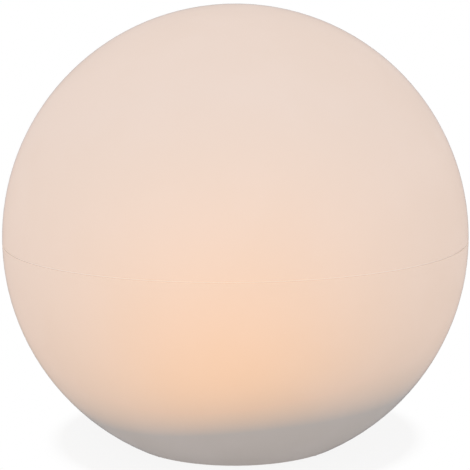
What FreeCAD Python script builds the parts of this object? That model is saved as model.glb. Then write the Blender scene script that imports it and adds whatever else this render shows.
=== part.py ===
"""Garden globe light: a cordless lamp unit in the floor of a two-part translucent ball.

Millimetres, +Z up. The origin is the centre of the footprint on the ground, and the front
of the lamp faces -Y. Every piece is written to parts/ under its own name.
"""
import FreeCAD, Part
import math
import os

Vector = FreeCAD.Vector
UP = Vector(0, 0, 1)

# ---------------------------------------------------------------- driving dimensions
# Ball
globe_diameter = 300.0
shell_wall = 3.0
base_wall = 3.0
base_edge_round = 1.2

# Seam between the two halves
seam_gap = 0.8
seam_chamfer = 0.3
seal_setback = 1.2              # how far the seal lies behind the ball's surface
seal_width = 2.3
lip_wall = 2.0
lip_height = 8.0                # the lower half's lip above the seam
rim_band = 8.0                  # thickened rim of each half
rim_taper = 8.0
key_count = 4
key_width = 6.0
key_depth = 1.0
key_height = 6.5
slip_gap = 0.3                  # between pieces that are pushed together by hand
weld = 0.4                      # how far parts of one moulding run into each other
coil_steps_per_turn = 3         # pairs of arcs in each turn of a spring

# Feet
foot_count = 4
foot_diameter = 8.0
foot_pocket = 1.5
foot_proud = 1.0
foot_fit = 0.1
foot_round = 0.4
foot_land = 11.35               # flat ring outside the lamp unit, which carries the feet

# Lamp unit, housing
flange_width = 12.1             # the flange stands out this far from the housing's wall
flange_thickness = 3.0
flange_gap = 0.5
gasket_thickness = 1.0
housing_radius = 48.4
housing_wall = 2.2
housing_floor = 3.0
housing_height = 49.0           # from the underside to the top of the wall
opening_gap = 0.6
collar_wall = 2.5
collar_height = 10.0
rib_count = 8
rib_depth = 1.5
rib_width = 2.0
rib_bottom = 20.0
rib_top_gap = 7.0

# Screws: shank radius, head radius, head height
SCREW_LARGE = (1.5, 2.9, 1.7)
SCREW_SMALL = (1.2, 2.3, 1.5)
head_round = 0.7
drive_width = 0.6
drive_depth = 0.8
thread_fit = 0.05
shank_fit = 0.25
head_fit = 0.35
flange_boss_radius = 4.4
head_boss_radius = 3.5
retainer_boss_radius = 4.6
boss_floor = 1.5                # solid plastic past the end of a blind hole
flange_screw_offset = 7.6       # outside the housing's wall
flange_screw_count = 4
flange_screw_length = 12.0
flange_screw_head_inset = 0.2

# Control board and its posts
post_offset = 25.5              # posts stand at plus and minus this, in X and Y
post_radius = 3.6
board_underside = 15.0          # above the flat underside
board_edge_gap = 0.8            # between the board and the housing's wall
board_thickness = 1.6
cradle_screw_length = 12.0
chip_height = 1.5
chip_places = [(20.0, 2.0, 6.0, 5.0), (-22.0, -3.0, 7.0, 7.0), (15.0, -12.0, 5.0, 4.0)]
capacitor_radius = 3.15
capacitor_height = 7.0
capacitor_round = 0.5
capacitor_places = [(-12.0, 18.0), (-20.0, 12.0)]
choke_radius = 5.0
choke_waist = 3.6
choke_height = 5.0
choke_rim = 1.0
choke_place = (14.0, 18.0)

# Push button, switch and spring
button_recess_radius = 15.0
button_recess_depth = 1.5
button_boss_radius = 17.0
button_boss_height = 2.0
button_radius = 7.0
button_inset = 0.6
button_flange_radius = 9.2
button_flange_thickness = 1.2
button_stem_radius = 1.5
button_travel = 1.5
button_bore_gap = 0.1
button_seal_gap = 0.04
button_dish = 0.5
button_round = 0.5
seal_section = 0.45
switch_side = 8.5
switch_height = 6.0
plunger_side = 3.3
plunger_depth = 2.2
plunger_fit = 0.15
plunger_proud = 1.3
spring_radius = 7.4
spring_wire = 0.4
spring_turns = 4.5

# Charging socket and its rubber plug
socket_offset = 24.0            # towards the front, from the centre
socket_width = 8.94
socket_depth = 3.26
socket_sheet = 0.3
socket_tongue_width = 6.7
socket_tongue_thickness = 0.7
socket_tongue_reach = 6.0
socket_block = 2.0              # solid part of the socket against the board
socket_boss_height = 1.6
socket_boss_margin = 3.0
plug_length = 16.0
plug_width = 10.0
plug_thickness = 1.6
plug_spigot_height = 2.2
plug_spigot_taper = 0.35
plug_pull = (6.0, 1.6, 0.5)     # finger groove: length, width, depth
plug_pull_inset = 1.4
tether_length = 7.0
tether_width = 5.0
tether_thickness = 0.8
tether_pin_radius = 1.5
tether_head_radius = 2.2
tether_head_height = 1.0

# Battery
cell_diameter = 18.4
cell_length = 65.0
cell_nub_radius = 3.0
cell_nub_height = 0.8
cell_gap = 1.0
cell_shift = 2.0                # the cells lie this far towards the back
cradle_floor = 2.0
cell_lift = 0.6                 # the ribs carry the cells this far above the cradle's floor
cradle_wall = 1.5
cradle_side_height = 13.0
cradle_fit = 0.15
cradle_rib_count = 3
cradle_rib_pitch = 24.0
cradle_bar_width = 10.0
contact_sheet = 0.5
contact_margin = 5.0
contact_tab_width = 6.0
contact_tab_height = 2.4
battery_spring_length = 4.5
battery_spring_radius = 4.0
battery_spring_wire = 0.35
battery_spring_turns = 3.0
end_wall = 2.0
retainer_width = 9.0
retainer_thickness = 2.0
retainer_screw_length = 9.0

# Light head
top_gasket_thickness = 0.8
gasket_step = 0.1                # the gasket stays this far back from the wall's inner edge
plate_thickness = 2.5
plate_skirt = 3.8
plate_skirt_wall = 1.7
plate_opening = 27.0
head_screw_inset = 4.5          # inside the housing's outer face
head_screw_count = 4
head_boss_height = 12.0
head_screw_length = 14.0
sink_lap = 4.0                  # the sink's base reaches this far under the plate
sink_base_thickness = 2.5
sink_skin = 0.8                  # left under the blind screw holes
sink_fin_radius = 20.0
sink_fin_gap = 1.05              # between the fins and the screws of the battery strap
sink_fin_thickness = 1.2
sink_fin_pitch = 5.0
led_board_lap = 3.0              # the LED board reaches this far over the plate
led_board_thickness = 1.6
led_count = 8
led_circle = 14.5
led_side = 5.0
led_height = 1.6
led_lens_radius = 1.9
led_lens_height = 0.2
led_screw_circle = 22.8
led_screw_count = 3
led_screw_start = 90.0           # degrees
led_screw_length = 5.0
dome_shoulder = 4.4              # flat flange outside the dome's curve
dome_height = 17.0
dome_wall = 2.0
dome_flange_thickness = 2.0
dome_gasket_width = 3.6
ring_top = 1.8
ring_lap = 2.8
ring_chamfer = 1.0
ring_web = 0.55                  # ring left between its bore and the screw heads

# Leads
lead_radius = 0.8
lead_bend = 2.0
lead_hole_gap = 0.4
lead_inset = 0.2                 # from the end of a solder tab
led_lead_offset = 22.0
led_lead_side = 8.0
led_lead_start = 33.5
led_lead_level = 5.5            # below the heat sink's top face
battery_lead_gap = 1.2

# ---------------------------------------------------------------- heights and radii that follow
flange_radius = housing_radius + flange_width
flange_screw_circle = housing_radius + flange_screw_offset
recess_radius = flange_radius + flange_gap
recess_outer = recess_radius + base_wall
base_radius = recess_radius + foot_land
foot_circle = recess_radius + foot_land / 2.0

globe_radius = globe_diameter / 2.0
inner_radius = globe_radius - shell_wall
equator_above_base = math.sqrt(globe_radius ** 2 - base_radius ** 2)
base_z = foot_proud
equator_z = base_z + equator_above_base
lower_rim_z = equator_z - seam_gap / 2.0
upper_rim_z = equator_z + seam_gap / 2.0
seal_outer = globe_radius - seal_setback
seal_inner = seal_outer - seal_width
lip_outer = seal_inner - slip_gap - key_depth - slip_gap
lip_inner = lip_outer - lip_wall
lip_top_z = upper_rim_z + lip_height
band_inner = lip_outer + slip_gap

ledge_z = base_z + flange_thickness + gasket_thickness
ledge_top_z = ledge_z + base_wall
opening_radius = housing_radius + opening_gap
collar_outer = opening_radius + collar_wall
collar_top_z = ledge_top_z + collar_height

housing_inner = housing_radius - housing_wall
gasket_inner = housing_inner + gasket_step
floor_z = base_z + housing_floor
housing_top_z = base_z + housing_height
board_z = base_z + board_underside
board_top_z = board_z + board_thickness
board_radius = housing_inner - board_edge_gap
cradle_limit = housing_inner - rib_depth - slip_gap

button_face_z = base_z + button_inset
button_boss_z = floor_z + button_boss_height
button_recess_z = base_z + button_recess_depth
button_flange_top_z = button_boss_z + button_flange_thickness
switch_z = board_z - switch_height
plunger_z = switch_z - plunger_proud
bore_radius = button_radius + button_bore_gap

plug_top_z = base_z + plug_thickness
socket_boss_z = floor_z + socket_boss_height
socket_y = -socket_offset
plug_hinge_y = socket_y - plug_width / 2.0
plug_hinge_z = plug_top_z - tether_thickness

cradle_floor_z = board_top_z + cradle_floor
cell_radius = cell_diameter / 2.0
cell_x = cell_radius + cell_gap / 2.0
cell_z = cradle_floor_z + cell_lift + cell_radius
cell_top_z = cell_z + cell_radius
cell_front_y = cell_shift - cell_length / 2.0
cell_back_y = cell_shift + cell_length / 2.0
cradle_half = cell_x + cell_radius + cell_gap
cradle_outer = cradle_half + cradle_wall
back_wall_y = cell_back_y + contact_sheet
front_wall_y = cell_front_y - battery_spring_length - contact_sheet
retainer_z = cell_top_z + cradle_fit
retainer_top_z = retainer_z + retainer_thickness
tab_top_z = cell_top_z + contact_tab_height

head_screw_circle = housing_radius - head_screw_inset
ring_bore = head_screw_circle - SCREW_SMALL[1] - head_fit - ring_web
dome_flange_radius = ring_bore - slip_gap
dome_radius = dome_flange_radius - dome_shoulder
sink_base_radius = plate_opening + sink_lap
led_board_radius = plate_opening + led_board_lap

plate_z = housing_top_z + top_gasket_thickness
plate_top_z = plate_z + plate_thickness
sink_z = plate_z - sink_base_thickness
fin_z = retainer_top_z + SCREW_SMALL[2] + sink_fin_gap
dome_seat_z = plate_top_z + gasket_thickness
dome_flange_top_z = dome_seat_z + dome_flange_thickness
ring_top_z = dome_flange_top_z + ring_top
ring_inner = dome_flange_radius - ring_lap
led_top_z = plate_top_z + led_board_thickness


# ---------------------------------------------------------------- helpers
def disc(radius, low, high, x=0.0, y=0.0):
    """A round plug from low to high."""
    return Part.makeCylinder(radius, high - low, Vector(x, y, low))


def ring(outer, inner, low, high):
    """A flat ring from low to high."""
    return disc(outer, low, high).cut(disc(inner, low - 1.0, high + 1.0))


def block(width, depth, low, high, x=0.0, y=0.0):
    """A box centred on x, y."""
    return Part.makeBox(width, depth, high - low, Vector(x - width / 2.0, y - depth / 2.0, low))


def slot(width, depth, low, high, x=0.0, y=0.0):
    """A box with fully rounded ends, wider in X than in Y."""
    radius = depth / 2.0
    reach = width / 2.0 - radius
    shape = block(2.0 * reach, depth, low, high, x, y)
    return fuse([shape, disc(radius, low, high, x - reach, y), disc(radius, low, high, x + reach, y)])


def fuse(shapes):
    """One solid from pieces that touch or overlap."""
    return shapes[0].multiFuse(shapes[1:]).removeSplitter()


def cut_all(shape, tools):
    """Takes every tool away from the shape."""
    return shape.cut(Part.makeCompound(tools))


def turned(shape, degrees):
    """A copy turned about the lamp's upright axis."""
    copy = shape.copy()
    copy.rotate(Vector(0, 0, 0), UP, degrees)
    return copy


def around(shape, count, first=0.0):
    """Copies spaced evenly round the upright axis."""
    return [turned(shape, first + 360.0 * index / count) for index in range(count)]


def line(start, end):
    """A straight edge of a profile given as (radius, height)."""
    return Part.LineSegment(Vector(start[0], 0, start[1]), Vector(end[0], 0, end[1])).toShape()


def polyline(points):
    """Straight edges through the points."""
    return [line(start, end) for start, end in zip(points, points[1:])]


def arc(centre_z, radius, start, end):
    """An arc of a circle centred on the axis, from start to end."""
    angle_start = math.atan2(start[1] - centre_z, start[0])
    angle_end = math.atan2(end[1] - centre_z, end[0])
    middle = (angle_start + angle_end) / 2.0
    through = Vector(radius * math.cos(middle), 0, centre_z + radius * math.sin(middle))
    return Part.Arc(Vector(start[0], 0, start[1]), through, Vector(end[0], 0, end[1])).toShape()


def on_circle(centre_z, radius, height):
    """The profile point of a circle centred on the axis at a given height."""
    return (math.sqrt(radius ** 2 - (height - centre_z) ** 2), height)


def revolve(edges):
    """A full turn of a closed profile about the upright axis."""
    face = Part.Face(Part.Wire(Part.__sortEdges__(edges)))
    return face.revolve(Vector(0, 0, 0), UP, 360)


def screw(sizes, length, x, y, seat_z, downwards=True):
    """A pan head screw. The head rests on seat_z and the shank runs into the work."""
    shank, head, height = sizes
    cap = disc(head, 0.0, height)
    cap = cap.makeFillet(head_round, [edge_at(cap, height)])
    point = Part.makeCone(shank * 0.35, shank, shank, Vector(0, 0, -length))
    shape = fuse([cap, disc(shank, shank - length, 0.0), point])
    arm = block(head * 1.2, drive_width, height - drive_depth, height + 1.0)
    shape = cut_all(shape, [arm, turned(arm, 90.0)])
    if not downwards:
        shape.rotate(Vector(0, 0, 0), Vector(1, 0, 0), 180)
    shape.translate(Vector(x, y, seat_z))
    return shape


def edge_at(shape, height):
    """The widest round edge at a height."""
    found = [edge for edge in shape.Edges if abs(edge.BoundBox.ZMin - height) < 1e-6
             and abs(edge.BoundBox.ZMax - height) < 1e-6]
    return max(found, key=lambda edge: edge.BoundBox.XLength)


def coil(radius, wire, turns, length):
    """A coil spring on the upright axis that touches its seats at 0 and at length."""
    slope = (length - 2.0 * wire) / (2.0 * math.pi * turns)
    steps = int(math.ceil(turns * coil_steps_per_turn))
    step = 2.0 * math.pi * turns / steps
    edges = []
    for index in range(steps):
        edges += two_arcs(radius, slope, wire, index * step, (index + 1) * step)
    section = Part.makeCircle(wire, Vector(radius, 0, wire), Vector(0, radius, slope))
    return Part.Wire(edges).makePipeShell([Part.Wire([section])], True, False)


def two_arcs(radius, slope, base, first, last):
    """Two arcs that meet smoothly and follow a helix from one angle to another."""
    ends = []
    for angle in (first, last):
        place = Vector(radius * math.cos(angle), radius * math.sin(angle), base + slope * angle)
        heading = Vector(-radius * math.sin(angle), radius * math.cos(angle), slope).normalize()
        ends.append((place, heading))
    (start, leaving), (end, arriving) = ends
    chord = end - start
    both = leaving + arriving
    spare = 4.0 - both.dot(both)
    along = chord.dot(both)
    reach = (math.sqrt(along ** 2 + spare * chord.dot(chord)) - along) / spare
    corner_start = start + leaving * reach
    corner_end = end - arriving * reach
    joint = (corner_start + corner_end) * 0.5
    return [bend(start, corner_start, joint), bend(joint, corner_end, end)]


def bend(start, corner, end):
    """The arc that rounds a corner. Start and end are equally far from it."""
    to_centre = ((start - corner) + (end - corner)).normalize()
    half = (start - corner).getAngle(to_centre)
    reach = (start - corner).Length
    middle = corner + to_centre * (reach / math.cos(half) - reach * math.tan(half))
    return Part.Arc(start, middle, end).toShape()


def lead(points):
    """An insulated wire along straight runs with round bends."""
    edges = []
    start = Vector(*points[0])
    for index in range(1, len(points) - 1):
        corner = Vector(*points[index])
        before = (Vector(*points[index - 1]) - corner).normalize()
        after = (Vector(*points[index + 1]) - corner).normalize()
        turn_in = corner + before * lead_bend
        turn_out = corner + after * lead_bend
        edges.append(Part.LineSegment(start, turn_in).toShape())
        edges.append(bend(turn_in, corner, turn_out))
        start = turn_out
    edges.append(Part.LineSegment(start, Vector(*points[-1])).toShape())
    first = Vector(*points[0])
    heading = Vector(*points[1]) - first
    section = Part.Wire([Part.makeCircle(lead_radius, first, heading)])
    return Part.Wire(edges).makePipeShell([section], True, False)


# ---------------------------------------------------------------- ball
def lower_shell():
    """Lower half of the ball, with its flat base, lamp opening and jointing lip."""
    shoulder = on_circle(equator_z, globe_radius, lower_rim_z)
    edge_low = on_circle(equator_z, globe_radius, lower_rim_z - seam_chamfer)
    base_corner = on_circle(equator_z, globe_radius, base_z)
    band_end = on_circle(equator_z, inner_radius, equator_z - rim_band - rim_taper)
    floor_corner = on_circle(equator_z, inner_radius, base_z + base_wall)
    edges = [arc(equator_z, globe_radius, base_corner, edge_low)]
    edges += polyline([edge_low, (shoulder[0] - seam_chamfer, lower_rim_z), (lip_outer, lower_rim_z),
                       (lip_outer, lip_top_z), (lip_inner, lip_top_z), (lip_inner, equator_z - rim_band),
                       band_end])
    edges.append(arc(equator_z, inner_radius, band_end, floor_corner))
    edges += polyline([floor_corner, (recess_outer, base_z + base_wall), (recess_outer, ledge_top_z),
                       (collar_outer, ledge_top_z), (collar_outer, collar_top_z),
                       (opening_radius, collar_top_z), (opening_radius, ledge_z),
                       (recess_radius, ledge_z), (recess_radius, base_z), base_corner])
    shell = revolve(edges)
    shell = shell.makeFillet(base_edge_round, [edge_at(shell, base_z)])
    boss = disc(flange_boss_radius, ledge_z, collar_top_z, flange_screw_circle)
    pilot = disc(SCREW_LARGE[0] + thread_fit, ledge_z - 1.0, collar_top_z - boss_floor,
                 flange_screw_circle)
    key = block(key_depth + lip_wall / 2.0, key_width, lower_rim_z, lower_rim_z + key_height,
                lip_outer + key_depth / 2.0 - lip_wall / 4.0)
    pocket = disc(foot_diameter / 2.0 + foot_fit, base_z - 1.0, base_z + foot_pocket, foot_circle)
    shell = fuse([shell] + around(boss, flange_screw_count) + around(key, key_count))
    return cut_all(shell, around(pilot, flange_screw_count) + around(pocket, foot_count, 180.0 / foot_count))


def upper_shell():
    """Upper half of the ball, open below, with slots that drop over the lip's keys."""
    shoulder = on_circle(equator_z, globe_radius, upper_rim_z)
    edge_high = on_circle(equator_z, globe_radius, upper_rim_z + seam_chamfer)
    band_end = on_circle(equator_z, inner_radius, equator_z + rim_band + rim_taper)
    crown = (0.0, equator_z + globe_radius)
    inner_crown = (0.0, equator_z + inner_radius)
    edges = polyline([(band_inner, equator_z + rim_band), (band_inner, upper_rim_z),
                      (shoulder[0] - seam_chamfer, upper_rim_z), edge_high])
    edges.append(arc(equator_z, globe_radius, edge_high, crown))
    edges.append(line(crown, inner_crown))
    edges.append(arc(equator_z, inner_radius, inner_crown, band_end))
    edges.append(line(band_end, (band_inner, equator_z + rim_band)))
    shell = revolve(edges)
    depth = key_depth + 2.0 * slip_gap
    notch = block(depth + 1.0, key_width + 2.0 * slip_gap, upper_rim_z - 1.0,
                  lower_rim_z + key_height + slip_gap, lip_outer + depth / 2.0 - 0.5)
    return cut_all(shell, around(notch, key_count))


def seam_seal():
    """Flat rubber ring in the seam."""
    return ring(seal_outer, seal_inner, lower_rim_z, upper_rim_z)


def rubber_feet():
    """Rubber pads pressed into the base."""
    foot = disc(foot_diameter / 2.0, 0.0, base_z + foot_pocket, foot_circle)
    foot = foot.makeFillet(foot_round, [edge_at(foot, 0.0)])
    return Part.makeCompound(around(foot, foot_count, 180.0 / foot_count))


# ---------------------------------------------------------------- lamp unit housing
def module_housing():
    """Cup that closes the ball's floor, with the button well and the charging opening."""
    cup = fuse([disc(flange_radius, base_z, base_z + flange_thickness),
                disc(housing_radius, base_z, housing_top_z)])
    cup = cup.cut(disc(housing_inner, floor_z, housing_top_z + 1.0))
    rib = block(rib_depth + weld, rib_width, rib_bottom, housing_top_z - rib_top_gap,
                housing_inner + (weld - rib_depth) / 2.0)
    post = disc(post_radius, floor_z, board_z, post_offset, post_offset)
    head_boss = disc(head_boss_radius, plate_z - head_boss_height, plate_z, head_screw_circle)
    inside = disc(housing_inner + housing_wall / 2.0, floor_z, plate_z)
    bosses = [boss.common(inside) for boss in around(head_boss, head_screw_count)]
    socket_boss = block(socket_width + 2.0 * socket_boss_margin, socket_depth + 2.0 * socket_boss_margin,
                        floor_z, socket_boss_z, 0.0, socket_y)
    body = fuse([cup, disc(button_boss_radius, floor_z, button_boss_z), socket_boss]
                + around(rib, rib_count, 180.0 / rib_count) + around(post, 4) + bosses)
    head_seat = ring(housing_radius + 1.0, gasket_inner, housing_top_z, plate_z + 1.0)
    post_pilot = disc(SCREW_SMALL[0] + thread_fit, floor_z, board_z + 1.0, post_offset, post_offset)
    head_pilot = disc(SCREW_SMALL[0] + thread_fit, plate_z - head_boss_height + boss_floor, plate_z + 1.0,
                      head_screw_circle)
    flange_hole = disc(SCREW_LARGE[0] + shank_fit, base_z - 1.0, ledge_z, flange_screw_circle)
    counterbore = disc(SCREW_LARGE[1] + head_fit, base_z - 1.0,
                       base_z + SCREW_LARGE[2] + flange_screw_head_inset, flange_screw_circle)
    tools = [head_seat, disc(bore_radius, base_z - 1.0, button_boss_z + 1.0),
             disc(button_recess_radius, base_z - 1.0, button_recess_z)]
    tools += around(post_pilot, 4) + around(head_pilot, head_screw_count)
    tools += around(flange_hole, flange_screw_count) + around(counterbore, flange_screw_count)
    tools += plug_cavity()
    return cut_all(body, tools)


def plug_cavity():
    """What the rubber plug and its tether take out of the housing's floor."""
    swing_room = plug_hinge_z - base_z + slip_gap
    plate = block(plug_length + 2.0 * slip_gap, plug_width + slip_gap + swing_room, base_z - 1.0,
                  plug_top_z, 0.0, socket_y + (slip_gap - swing_room) / 2.0)
    channel = block(tether_width + 2.0 * slip_gap, tether_length + 2.0 * slip_gap, base_z - 1.0,
                    plug_top_z, 0.0, plug_hinge_y - tether_length / 2.0)
    mouth = slot(socket_width + 2.0 * slip_gap, socket_depth + 2.0 * slip_gap, base_z - 1.0,
                 socket_boss_z + 1.0, 0.0, socket_y)
    pin_hole = disc(tether_pin_radius, base_z - 1.0, floor_z + 1.0, 0.0, tether_pin_y())
    return [plate, channel, mouth, pin_hole]


def tether_pin_y():
    """Where the tether's pin goes through the floor."""
    return plug_hinge_y - tether_length + tether_width / 2.0


def module_gasket():
    """Flat rubber ring between the flange and the ball's floor."""
    sheet = ring(flange_radius, opening_radius + slip_gap, base_z + flange_thickness, ledge_z)
    hole = disc(SCREW_LARGE[0] + shank_fit, 0.0, ledge_z + 1.0, flange_screw_circle)
    return cut_all(sheet, around(hole, flange_screw_count))


def module_screws():
    """Screws through the flange into the ball's bosses."""
    seat = base_z + SCREW_LARGE[2] + flange_screw_head_inset
    one = screw(SCREW_LARGE, flange_screw_length, flange_screw_circle, 0.0, seat, downwards=False)
    return Part.makeCompound(around(one, flange_screw_count))


# ---------------------------------------------------------------- button and switch
def power_button():
    """Round button with a retaining flange and a stem that works the switch."""
    barrel = disc(button_radius, button_face_z, button_boss_z)
    barrel = barrel.makeFillet(button_round, [edge_at(barrel, button_face_z)])
    flange = disc(button_flange_radius, button_boss_z, button_flange_top_z)
    stem = disc(button_stem_radius, button_flange_top_z, plunger_z)
    dish_reach = button_radius - button_round - button_dish
    dish_radius = (dish_reach ** 2 + button_dish ** 2) / (2.0 * button_dish)
    dish = Part.makeSphere(dish_radius, Vector(0, 0, button_face_z + button_dish - dish_radius))
    groove_z = (button_recess_z + button_boss_z) / 2.0
    groove = ring(button_radius + 1.0, bore_radius - button_seal_gap - 2.0 * seal_section,
                  groove_z - seal_section, groove_z + seal_section)
    return cut_all(fuse([barrel, flange, stem]), [dish, groove])


def button_seal():
    """Ring seal in the button's groove."""
    groove_z = (button_recess_z + button_boss_z) / 2.0
    return Part.makeTorus(bore_radius - button_seal_gap - seal_section, seal_section,
                          Vector(0, 0, groove_z), UP)


def power_switch():
    """Body of the latching push switch under the control board."""
    body = block(switch_side, switch_side, switch_z, board_z)
    well = block(plunger_side + 2.0 * plunger_fit, plunger_side + 2.0 * plunger_fit, switch_z - 1.0,
                 switch_z + plunger_depth + button_travel + slip_gap)
    return body.cut(well)


def switch_plunger():
    """Square plunger of the switch, which the button's stem pushes."""
    return block(plunger_side, plunger_side, plunger_z, switch_z + plunger_depth)


def button_spring():
    """Return spring between the button's flange and the control board."""
    shape = coil(spring_radius, spring_wire, spring_turns, board_z - button_flange_top_z)
    shape.translate(Vector(0, 0, button_flange_top_z))
    return shape


# ---------------------------------------------------------------- charging socket
def charge_socket():
    """Upright metal shroud of the charging socket."""
    shroud = slot(socket_width, socket_depth, socket_boss_z, board_z, 0.0, socket_y)
    hollow = slot(socket_width - 2.0 * socket_sheet, socket_depth - 2.0 * socket_sheet,
                  socket_boss_z - 1.0, board_z - socket_block, 0.0, socket_y)
    return shroud.cut(hollow)


def socket_tongue():
    """Contact tongue inside the socket."""
    top = board_z - socket_block
    return block(socket_tongue_width, socket_tongue_thickness, top - socket_tongue_reach, top,
                 0.0, socket_y)


def charge_plug():
    """Rubber plug over the charging socket."""
    plate = block(plug_length, plug_width - slip_gap / 2.0, base_z, plug_top_z, 0.0,
                  socket_y + slip_gap / 4.0)
    low = slot(socket_width, socket_depth, 0.0, 0.1, 0.0, socket_y)
    small = slot(socket_width - 2.0 * plug_spigot_taper, socket_depth - 2.0 * plug_spigot_taper, 0.0, 0.1,
                 0.0, socket_y)
    wires = []
    for shape, height in ((low, plug_top_z), (small, plug_top_z + plug_spigot_height)):
        face = min(shape.Faces, key=lambda item: item.CenterOfMass.z).copy()
        face.translate(Vector(0, 0, height))
        wires.append(face.OuterWire)
    spigot = Part.makeLoft(wires, True, True)
    pull = slot(plug_pull[0], plug_pull[1], base_z - 1.0, base_z + plug_pull[2], 0.0,
                socket_y + plug_width / 2.0 - plug_pull_inset)
    return fuse([plate, spigot]).cut(pull)


def plug_tether():
    """Strap and pin that hold the rubber plug to the housing."""
    strap = block(tether_width, tether_length - slip_gap / 2.0, plug_hinge_z, plug_top_z, 0.0,
                  plug_hinge_y - tether_length / 2.0 - slip_gap / 4.0)
    pin = disc(tether_pin_radius - thread_fit, plug_top_z, floor_z, 0.0, tether_pin_y())
    head = disc(tether_head_radius, floor_z, floor_z + tether_head_height, 0.0, tether_pin_y())
    return fuse([strap, pin, head])


# ---------------------------------------------------------------- boards and battery
def control_board():
    """Round circuit board on the four posts."""
    sheet = disc(board_radius, board_z, board_top_z)
    hole = disc(SCREW_SMALL[0] + shank_fit, board_z - 1.0, board_top_z + 1.0, post_offset, post_offset)
    return cut_all(sheet, around(hole, 4))


def board_chips():
    """Charger and driver chips under the control board."""
    return Part.makeCompound([block(width, depth, board_z - chip_height, board_z, x, y)
                              for x, y, width, depth in chip_places])


def board_capacitors():
    """Can capacitors under the control board."""
    cans = []
    for x, y in capacitor_places:
        can = disc(capacitor_radius, board_z - capacitor_height, board_z, x, y)
        cans.append(can.makeFillet(capacitor_round, [edge_at(can, board_z - capacitor_height)]))
    return Part.makeCompound(cans)


def board_choke():
    """Choke of the LED driver."""
    drum = disc(choke_radius, board_z - choke_height, board_z)
    waist = ring(choke_radius + 1.0, choke_waist, board_z - choke_height + choke_rim, board_z - choke_rim)
    choke = drum.cut(waist)
    choke.translate(Vector(choke_place[0], choke_place[1], 0))
    return choke


def cradle_screws():
    """Screws that clamp the cradle and the board to the posts."""
    one = screw(SCREW_SMALL, cradle_screw_length, post_offset, post_offset, cradle_floor_z)
    return Part.makeCompound(around(one, 4))


def retainer_place():
    """Where the retainer's two screws stand."""
    return [(-post_offset, cell_shift), (post_offset, cell_shift)]


def battery_cradle():
    """Tray with saddle ribs for the two cells."""
    low = board_top_z
    bar_reach = 2.0 * post_offset + cradle_bar_width
    length = back_wall_y - front_wall_y + 2.0 * end_wall
    middle_y = (back_wall_y + front_wall_y) / 2.0
    pieces = [block(2.0 * cradle_outer, length, low, cradle_floor_z, 0.0, middle_y)]
    for y in (-post_offset, cell_shift, post_offset):
        pieces.append(block(bar_reach, cradle_bar_width, low, cradle_floor_z, 0.0, y))
    for side in (-1.0, 1.0):
        pieces.append(block(cradle_wall, length, low, low + cradle_side_height,
                            side * (cradle_half + cradle_wall / 2.0), middle_y))
    for index in range(cradle_rib_count):
        y = cell_shift + (index - (cradle_rib_count - 1) / 2.0) * cradle_rib_pitch
        pieces.append(block(2.0 * cradle_half, end_wall, low, cell_z, 0.0, y))
    pieces.append(block(2.0 * cradle_outer, end_wall, low, cell_top_z, 0.0, back_wall_y + end_wall / 2.0))
    pieces.append(block(2.0 * cradle_outer, end_wall, low, cell_top_z, 0.0, front_wall_y - end_wall / 2.0))
    pieces += [disc(retainer_boss_radius, low, retainer_z, x, y) for x, y in retainer_place()]
    tray = fuse(pieces).common(disc(cradle_limit, low, tab_top_z))
    tools = []
    for side in (-1.0, 1.0):
        saddle = Part.makeCylinder(cell_radius + cradle_fit, cell_length,
                                   Vector(side * cell_x, cell_front_y, cell_z), Vector(0, 1, 0))
        tools.append(saddle)
    hole = disc(SCREW_SMALL[0] + shank_fit, low - 1.0, cradle_floor_z + 1.0, post_offset, post_offset)
    tools += around(hole, 4)
    tools += [disc(SCREW_SMALL[0] + thread_fit, cradle_floor_z, retainer_z + 1.0, x, y)
              for x, y in retainer_place()]
    return cut_all(tray, tools)


def battery_cells():
    """Two rechargeable cells side by side, their positive ends at the back."""
    cells = []
    for side in (-1.0, 1.0):
        start = Vector(side * cell_x, cell_front_y, cell_z)
        body = Part.makeCylinder(cell_radius, cell_length - cell_nub_height, start, Vector(0, 1, 0))
        nub = Part.makeCylinder(cell_nub_radius, cell_length, start, Vector(0, 1, 0))
        cells.append(fuse([body, nub]))
    return Part.makeCompound(cells)


def contact(y):
    """Sheet contact across both cells, with a solder tab above the end wall."""
    width = 2.0 * (cell_x + contact_margin)
    sheet = Part.makeBox(width, contact_sheet, 2.0 * contact_margin,
                         Vector(-width / 2.0, y, cell_z - contact_margin))
    tab = Part.makeBox(contact_tab_width, contact_sheet, tab_top_z - cell_z,
                       Vector(cell_x - contact_tab_width / 2.0, y, cell_z))
    return fuse([sheet, tab])


def positive_contact():
    """Contact at the back ends of the cells."""
    return contact(cell_back_y)


def negative_contact():
    """Contact behind the battery springs."""
    return contact(front_wall_y)


def negative_springs():
    """Two coil springs that press the cells to the positive contact."""
    springs = []
    for side in (-1.0, 1.0):
        one = coil(battery_spring_radius, battery_spring_wire, battery_spring_turns,
                   battery_spring_length)
        one.rotate(Vector(0, 0, 0), Vector(1, 0, 0), -90)
        one.translate(Vector(side * cell_x, front_wall_y + contact_sheet, cell_z))
        springs.append(one)
    return Part.makeCompound(springs)


def battery_retainer():
    """Strap that holds the cells down."""
    reach = 2.0 * (post_offset + retainer_boss_radius)
    strap = block(reach, retainer_width, retainer_z, retainer_top_z, 0.0, cell_shift)
    holes = [disc(SCREW_SMALL[0] + shank_fit, retainer_z - 1.0, retainer_top_z + 1.0, x, y)
             for x, y in retainer_place()]
    return cut_all(strap, holes)


def retainer_screws():
    """Screws of the battery strap."""
    return Part.makeCompound([screw(SCREW_SMALL, retainer_screw_length, x, y, retainer_top_z)
                              for x, y in retainer_place()])


def battery_lead(y_face, outwards):
    """Lead from a contact's tab over the end wall and down to the board."""
    level = tab_top_z - lead_radius - lead_inset
    y_down = y_face + outwards * (end_wall + battery_lead_gap)
    return lead([(cell_x, y_face, level), (cell_x, y_down, level), (cell_x, y_down, board_top_z)])


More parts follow.
